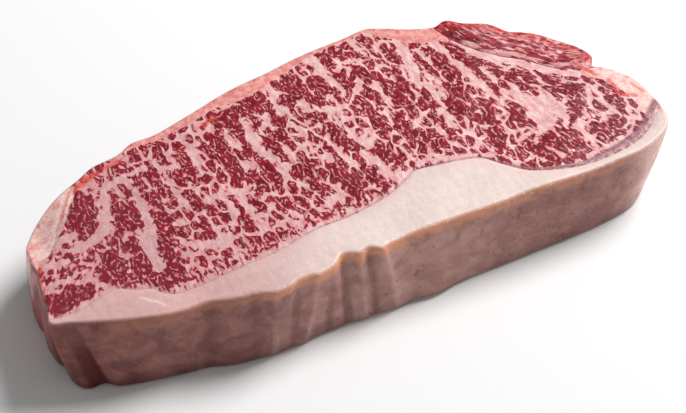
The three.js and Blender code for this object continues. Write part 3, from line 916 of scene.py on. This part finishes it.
def rim_fat_colour(n):
    """The fat round the eye: salmon, with some red at the edge."""
    tone = n.noise(n.place((3.2, 3.2, 5), 0.3), 3, 0.65)
    red = n.shade(tone, 0.35, 0.7, (224, 132, 127), (245, 178, 169))
    # The paler rosy fat: its own colour at the broad end's rim; on the tail's shoulder partly painted light,
    # paler as if lit.
    rosy = n.shade(tone, 0.3, 0.6, (240, 172, 164), (252, 214, 206))
    spots = n.step(0.56, 0.66, n.noise(n.place((2.6, 2.6, 3), 0, (6, 1, 2))))
    near_edge = n.step(4.5, 1, n.attribute("rim"))
    return n.tint(n.mix(n.attribute("rosy"), red, rosy), (212, 76, 62), spots, near_edge, 0.7)


def chain_colour(n):
    """Layers of lean and fat that run along the chain, brightest at its outer edge."""
    chain_at, far = n.attribute("chain"), n.attribute("far")
    layer = n.noise(n.beside(chain_at, -1, (16, 9)))
    layer = n.scaled(layer, 9, n.math("SUBTRACT", chain_at, 4.5))
    streaks = n.noise(n.beside(chain_at, -1, (8, 1.5)), 2, 0.55, 1)
    mottle = n.noise(n.beside(chain_at, -1, (5, 1.6)), 3, 0.6, 0.6)
    right = n.step(0.4, 0.95, far)
    dark_lean = n.shade(mottle, 0.4, 0.6, (88, 16, 32), (150, 38, 50))
    pale_lean = n.shade(mottle, 0.4, 0.6, (126, 30, 46), (184, 62, 70))
    fat = n.shade(mottle, 0.35, 0.65, (222, 142, 144), (246, 192, 188))
    fatty = n.times(n.step(-0.4, 0.6, layer), n.step(3.4, 2.2, layer), n.step(0.3, 0.62, far), 0.64)
    fatty = n.math("ADD", fatty, n.scaled(streaks, 1.6, -0.8))
    fatty = n.times(n.step(0.42, 0.58, fatty), 0.9)
    outermost = n.times(n.step(6.6, 8.4, layer), n.step(0.43, 0.57, streaks), n.scaled(right, 0.3, 0.45))
    fatty = n.math("MAXIMUM", n.math("MAXIMUM", fatty, outermost), n.step(0.56, 0.63, streaks))
    colour = n.mix(fatty, n.mix(right, dark_lean, pale_lean), fat)
    spots = n.step(0.42, 0.56, n.noise(n.place((2.4, 2.4, 3))))
    return n.tint(colour, (222, 66, 58), n.step(6.5, 1.5, n.attribute("rim")), spots, 0.85)


def with_seams(n, colour):
    """Adds a dark line along the chain, a purple membrane along part of the fat cap, and blood."""
    cap_at = n.attribute("cap")
    line = n.step(0.5, 0.1, n.math("ABSOLUTE", n.math("SUBTRACT", n.attribute("chain"), 0.3)))
    colour = n.tint(colour, (116, 50, 58), line, 0.75)
    silver = n.shade(n.noise(n.beside(cap_at, 1, (7, 0.7))), 0.3, 0.7, (120, 64, 80), (178, 124, 134))
    wide = n.scaled(n.step(0.5, 1, n.attribute("far")), 1.3, 0.75)
    off_middle = n.math("ABSOLUTE", n.math("ADD", n.math("ADD", cap_at, wide), 0.2))
    membrane = n.step(1.25, 0.4, n.math("DIVIDE", off_middle, wide))
    patchy = n.step(0.1, 0.5, n.noise(n.beside(cap_at, 1, (9, 0.9)), 2, 0.6))
    colour = n.mix(n.times(n.attribute("silver"), membrane, patchy, 0.9), colour, silver)
    blood = n.shade(n.noise(n.place((1.6, 1.6, 2), 0, (7, 7, 1))), 0.35, 0.65, (196, 42, 44), (240, 104, 74))
    return n.mix(n.times(n.attribute("blood"), 0.8), colour, blood)


def cap_colour(n):
    """The fat cap's cut face: pink by the tail and by the seam, cream towards the broad end."""
    tone = n.noise(n.place((14, 3.2, 6), 0.06), 3, 0.55)
    cool = n.mix(tone, linear(210, 161, 158), linear(226, 187, 183))
    pale = n.mix(tone, linear(230, 206, 198), linear(243, 226, 219))
    colour = n.mix(n.step(0.1, 0.75, n.attribute("warm")), cool, pale)
    return n.tint(colour, (228, 180, 178), n.step(8, 0, n.attribute("cap")), n.step(0.3, 0.6, tone), 0.4)


def cut_face(n):
    """The colour of both cut faces, and the fat cap's share in it."""
    cap_at, warm = n.attribute("cap"), n.attribute("warm")
    on_chain = n.step(-0.2, 0.5, n.attribute("chain"))
    colour = with_seams(n, n.mix(on_chain, eye_colour(n), chain_colour(n)))
    frayed = n.noise(n.place((1.4, 1.4, 2)))
    seam_at = n.math("ADD", cap_at, n.scaled(frayed, 0.7, -0.35))
    line = n.step(0.9, 0.2, n.math("ABSOLUTE", n.math("ADD", seam_at, 0.3)))
    broken = n.step(0.3, 0.6, n.noise(n.beside(cap_at, 1, (5, 3))))
    colour = n.tint(colour, (176, 96, 110), line, broken, n.step(0.2, 0.6, warm), 0.6)
    blur = n.scaled(n.step(0.7, 0.2, warm), 0.9, 0.25)
    cap_share = n.step(-1, 1, n.math("DIVIDE", seam_at, blur))
    colour = n.mix(cap_share, colour, cap_colour(n))
    return n.tint(colour, (252, 232, 226), n.attribute("crease"), 0.8), cap_share


def wall_colour(n):
    """The outside: tough fat, browner than a fresh cut, with an amber line just below the cut edge."""
    pale, ridge = n.attribute("pale"), n.attribute("ridge")
    blotches = n.noise(n.place((9, 9, 6)), 4, 0.62, 0.5)
    pores = n.noise(n.place((1.3, 1.3, 1.3)), 3, 0.6)
    # dark and light are a shaded and a lit copy of the blotchy fat, mixed by pale along X: partly the wall's
    # own colour, partly painted light.
    dark = n.shade(blotches, 0.3, 0.7, (117, 66, 63), (163, 103, 93))
    light = n.shade(blotches, 0.3, 0.7, (226, 170, 158), (244, 206, 194))
    colour = n.tint(n.mix(pale, dark, light), (206, 172, 160), n.step(0.52, 0.8, pores), 0.2)
    marks = n.step(0.58, 0.72, n.noise(n.place((2.6, 2.6, 3.4), 0.2, (5, 5, 1)), 3, 0.6, 0.4))
    colour = n.tint(colour, (104, 58, 50), marks, n.step(0.15, 0.6, n.attribute("warm")), 0.45)
    # Painted highlight along the tops of the folds, and painted shade down in their grooves.
    colour = n.tint(colour, (216, 180, 168), n.step(0.05, 1.2, ridge), 0.5)
    colour = n.tint(colour, (100, 56, 44), n.step(-0.2, -1.2, ridge), 0.4)
    colour = n.tint(colour, (214, 96, 98), n.attribute("flank"), n.step(0.2, 0.75, blotches))
    amber_reach = n.scaled(n.noise(n.place((6, 6, 3))), 8, -2.8)
    amber_reach = n.scaled(n.math("MAXIMUM", ridge, 0), 1.8, amber_reach)
    below = n.math("SUBTRACT", n.attribute("low"), amber_reach)
    colour = n.tint(colour, (238, 162, 124), n.step(4, -0.6, below), n.attribute("amber"), 0.9)
    # Painted shade: the wall darkens towards its foot, where it meets the floor.
    colour = n.tint(colour, (78, 44, 42), n.attribute("foot"), 0.45)

    # Fibres and red streaks that run down the pale wall of the broad end.
    on_pale = n.step(0.45, 1, pale)
    fibres = n.step(0.5, 0.68, n.noise(n.place((1.1, 1.1, 9), 0.4), 2, 0.6, 0.8))
    colour = n.tint(colour, (246, 214, 208), fibres, on_pale, 0.6)
    streaks = n.step(0.52, 0.7, n.noise(n.place((1.3, 1.3, 11), 0.4, (3, 6, 2)), 2, 0.6, 0.8))
    colour = n.tint(colour, (198, 104, 106), streaks, on_pale, 0.55)
    colour = n.tint(colour, (96, 20, 28), n.attribute("raw"))
    layers = n.noise(n.place((1.7, 1.7, 16), 0, (2, 8, 3)), 3, 0.6, 0.6)
    chain_wall = n.shade(layers, 0.35, 0.66, (112, 26, 38), (206, 122, 116))
    return n.mix(n.step(-0.5, 0.5, n.attribute("chain")), colour, chain_wall)


def painted_glints(n):
    """Painted highlights: near-white specks on the fat's upper edge and, more thinly, on its fold tops."""
    glint_specks = n.step(0.6, 0.66, n.noise(n.place((1.3, 1.3, 1.3), 0, (2, 9, 4)), 2, 0.6))
    near_edge = n.step(2.2, 0.2, n.math("ABSOLUTE", n.math("SUBTRACT", n.attribute("low"), 0.3)))
    near_edge = n.times(near_edge, n.step(0.3, 0.9, n.attribute("amber")), n.step(2.2, 1, n.attribute("rim")))
    on_folds = n.times(n.step(0.3, 0.9, n.attribute("ridge")), 0.3)
    return n.times(glint_specks, n.math("MAXIMUM", near_edge, on_folds), 0.7)


def flesh(name):
    """Marbled beef. Point attributes say what lies where:
    cut: 1 on the two cut faces, 0 on the outside. low: millimetres below the upper cut face.
    lean: above 0 where a cut face tends to lean. solid: one large piece of lean. small: mere specks of it.
    cap, chain and rim: millimetres into the fat cap, into the chain and in from the edge.
    tail, broad and bychain: where the grain turns. warm and far: 0 at the tail to 1 at the broad end.
    rimfat: the fat that rims the eye. rosy: its paler parts, partly painted light. silver: the membrane along
    the fat cap.
    crease and blood: pale lines and red ones on the cut face. ridge: how far the outside's folds stand out.
    pale, amber, flank, raw and foot: tints of the outside; pale partly painted light, foot painted shade."""
    n = Nodes(name)
    cut_colour, cap_share = cut_face(n)
    colour = n.mix(n.attribute("cut"), wall_colour(n), cut_colour)
    # Painted highlights: near-white specks along the fat's upper edge and on the tops of its folds.
    colour = n.tint(colour, (250, 238, 228), painted_glints(n))

    # A fine grain over everything, fainter on the fat cap.
    pores = n.noise(n.place((0.8, 0.9, 0.8), 0, (3, 7, 2)), 3, 0.65)
    speckle = n.mix(n.step(0.3, 0.7, pores), (0.87, 0.87, 0.87, 1), (1.1, 1.1, 1.1, 1))
    colour = n.mix(n.scaled(cap_share, -0.6, 1), colour, speckle, "MULTIPLY")
    relief = n.new("ShaderNodeBump", {"Strength": 0.5, "Distance": 0.0003, "Height": pores})
    wet = n.noise(n.place((3, 3, 3), 0, (9, 1, 1)), 3, 0.6)
    surface = {"Base Color": colour, "Roughness": n.scaled(wet, 0.3, 0.2), "Normal": relief.outputs["Normal"]}
    n.feed(n.shader, surface | {"Specular IOR Level": 0.22, "Subsurface Weight": 0.08})
    n.feed(n.shader, {"Subsurface Radius": (0.003, 0.0012, 0.001), "Subsurface Scale": 1})
    return n.material


# ---- dressing the pieces ----


def points_of(obj):
    points = np.empty(len(obj.data.vertices) * 3)
    obj.data.vertices.foreach_get("co", points)
    return points.reshape(-1, 3)


def rim_distance(x, y):
    points = rim_line[::3]
    away = np.full(x.shape, 1e9)
    for a, b in zip(points[:-1], points[1:]):
        run_x, run_y = b[0] - a[0], b[1] - a[1]
        share = clamp01(((x - a[0]) * run_x + (y - a[1]) * run_y) / (run_x**2 + run_y**2 + 1e-9))
        away = np.minimum(away, np.hypot(x - a[0] - share * run_x, y - a[1] - share * run_y))
    return away * inside(points, x, y)


def folds(x, y, direction, share):
    """How far the outside's folds stand out, and where raw meat shows in the creases of the tail."""
    front = rise(-20, -30, y) * rise(-100, -90, x)
    ridge, raw = np.zeros(x.shape), np.zeros(x.shape)
    for head, foot, depth, half_width in WRINKLES:
        fade = 0.8 + 0.6 * waves(x / 9, 2.5 * share + head, 97)
        ridge -= depth * bell(x - mix(foot, head, share), 0.7 * half_width) * front * fade
    for head, foot, depth, half_width in TAIL_CREASES[:2]:
        crease = bell(direction - mix(foot, head, share), half_width) * (x < TAIL_TURN)
        ridge -= 0.7 * depth * crease
        raw = np.maximum(raw, rise(0.3, 0.7, crease) * rise(0.85, 0.35, share))
    return ridge, 0.85 * raw


def cut_share(z, top, direction, on_tail):
    """1 on the two cut faces, 0 on the outside, and between on the tail's frayed shoulder."""
    cut = np.maximum(rise(0.7, 0.2, top - z), 0.8 * rise(0.7, 0.05, z))
    fray = waves(direction / 5, z / 9, 98) + 0.5 * waves(direction / 2, z / 4, 99)
    centre, half_width = SHOULDER[:2]
    shoulder = rise(0.1, 0.55, bell(direction - centre, 1.3 * half_width) + 0.15 * fray) * on_tail
    return np.maximum(cut, shoulder * rise(0.36, 0.7, z / FULL_HEIGHT + 0.12 * fray))


def looks_at(x, y, z):
    """What the materials need to know of every point, as named attributes."""
    cap_slant = np.interp(x, cap_line[:, 0], cap_line[:, 2])
    cap_away = -left_of(cap_line, x, y - (1 - z / FULL_HEIGHT) * cap_slant)
    chain_away = left_of(chain_line, x, y)
    inward = rim_distance(x, y)
    direction = np.degrees(np.arctan2(y - TAIL_HUB[1], x - TAIL_HUB[0])) % 360
    on_tail = x < TAIL_END
    top = face_height(x, y, chain_line) - shoulder_drop(direction, on_tail, inward)
    share = clamp01(z / top)

    rim_fat = stroke_depth(x, y, RIM_FAT, 0.7)
    rim_fat = rise(0.25, 0.6, rim_fat + 0.22 * waves(x / 2.2, y / 2.2, 90) + 0.12 * waves(x, y, 91))
    field, solid = marbling(x, y)
    field = field - 1.1 * rim_fat - 0.45 * rise(3, 0.3, -cap_away) * rise(30, 0, x)
    tail, broad, by_chain = grain_zones(x, y, chain_away)
    small = np.maximum(0.9 * tail, 0.85 * rise(9, 3.5, -cap_away) * rise(24, 4, x))
    small = np.maximum(small, 0.45 * rise(-56, -74, x))
    end_rim = rise(108, 114, x) * rise(4, -4, y)
    ridge, raw = folds(x, y, direction, share)
    # Painted shade at the wall's foot: how far it darkens towards the floor, more so towards the tail.
    foot = rise(0.3, 0.04, share + 0.08 * waves(x / 7, y / 7, 95))
    return {
        "lean": field,
        "solid": solid * (1 - rim_fat),
        "small": small * (1 - 0.8 * rise(-23, -26, y) * rise(-98, -104, x)),
        "cut": cut_share(z, top, direction, on_tail),
        "low": top - z,
        "cap": cap_away,
        "chain": chain_away,
        "rim": inward,
        "tail": tail,
        "broad": broad,
        "bychain": by_chain,
        "warm": rise(-105, 45, x),
        "far": rise(40, 110, x),
        "rimfat": rim_fat,
        # Paler rim fat; on the tail's shoulder partly painted light.
        "rosy": np.maximum(end_rim, 0.85 * rise(-88, -98, x)),
        "silver": rise(46, 70, x),
        "crease": wavy_strokes(x, y, CREASES, wobble=0.4, size=3, blur=0.5, seed=81),
        "blood": wavy_strokes(x, y, BLOOD, wobble=0.7, size=1.9, blur=0.7, seed=83),
        "ridge": ridge,
        "raw": raw,
        # Partly painted light: the wall painted darker towards the tail, paler at the broad end.
        "pale": np.interp(x, *np.transpose(PALE_ALONG)),
        "amber": np.interp(x, *np.transpose(AMBER_ALONG)) * rise(-10, -30, y),
        "flank": bell(direction - FLANK[0], FLANK[1]) * (x < TAIL_TURN),
        "foot": foot * (0.45 + 0.55 * rise(10, -70, x)),
    }


def relief(x, y, looks):
    """Low relief of the upper face: the seams sink a little and the lean stands a little above the fat."""
    cap_away, chain_away = looks["cap"], looks["chain"]
    height = 0.14 * rise(-0.2, 0.3, looks["lean"]) * (cap_away < 0)
    height += 0.12 * waves(x / 3.1, y / 4.4, 70) + 0.06 * waves(x / 1.3, y / 1.7, 71)
    height -= 0.45 * bell(cap_away, 1.0) + 0.25 * bell(chain_away - 0.3, 0.9) + 0.12 * looks["crease"]
    height += 0.5 * waves(x / 2.6, y / 2.2, 73) * rise(2, 6, chain_away)
    return height * rise(0.2, 2.4, looks["rim"])


def dress(obj):
    points = points_of(obj)
    x, y, z = points.T
    looks = looks_at(x, y, z)
    for name, values in looks.items():
        made = obj.data.attributes.new(name, "FLOAT", "POINT")
        made.data.foreach_set("value", np.asarray(values, np.float32))
    points[:, 2] += np.where(looks["low"] < RELIEF_DEPTH, relief(x, y, looks), 0)
    obj.data.vertices.foreach_set("co", points.ravel())


def fit_to_frame(pieces):
    """Scales and shifts the pieces so that their box is the CAD model's box."""
    all_points = {obj: points_of(obj) for obj in pieces}
    low = np.min([points.min(axis=0) for points in all_points.values()], axis=0)
    high = np.max([points.max(axis=0) for points in all_points.values()], axis=0)
    want_low, want_high = (np.array(side) for side in cad_box)
    for obj, points in all_points.items():
        share = (points - low) / (high - low)
        moved = want_low + share * (want_high - want_low)
        obj.data.vertices.foreach_set("co", moved.ravel())
        obj.data.shade_smooth()
        obj.data.update()


for obj in PIECES.values():
    dress(obj)
fit_to_frame(PIECES.values())
for node, obj in PIECES.items():
    obj.data.materials.clear()
    obj.data.materials.append(flesh(obj.name + "_flesh"))
    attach(obj, "root")
    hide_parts(node)


# ---- the floor, the light and the camera ----


def plain(name, colour, roughness):
    n = Nodes(name)
    n.feed(n.shader, {"Base Color": colour, "Roughness": roughness, "Specular IOR Level": 0.1})
    return n.material


bpy.ops.mesh.primitive_plane_add(size=8, location=(0, 0, -0.0002))
floor = bpy.context.object
floor.name = "floor"
floor.data.materials.append(plain("floor_white", linear(248, 248, 248), 0.9))

world = bpy.data.worlds.new("studio")
world.use_nodes = True
world.node_tree.nodes["Background"].inputs["Color"].default_value = (1, 1, 1, 1)
world.node_tree.nodes["Background"].inputs["Strength"].default_value = 0.26
bpy.context.scene.world = world


def softbox(name, place, aim, size, watts):
    lamp = bpy.data.lights.new(name, "AREA")
    lamp.shape = "DISK"
    lamp.size = size
    lamp.energy = watts
    obj = bpy.data.objects.new(name, lamp)
    bpy.context.scene.collection.objects.link(obj)
    obj.location = place
    obj.rotation_euler = (Vector(aim) - Vector(place)).to_track_quat("-Z", "Y").to_euler()


softbox("key", place=(1.2, 0.3, 1.36), aim=(0, 0, 0), size=0.9, watts=38)

CAMERA_PLACE = Vector((-0.21993, -0.44070, 0.44324))
CAMERA_AIM = Vector((-0.00401, -0.01692, 0.015))
lens = bpy.data.cameras.new("view")
lens.lens = 90.645
lens.sensor_width = 36
lens.clip_start = 0.01
camera = bpy.data.objects.new("view", lens)
bpy.context.scene.collection.objects.link(camera)
camera.location = CAMERA_PLACE
camera.rotation_euler = (CAMERA_AIM - CAMERA_PLACE).to_track_quat("-Z", "Y").to_euler()
bpy.context.scene.camera = camera
bpy.context.scene.view_settings.view_transform = "Standard"
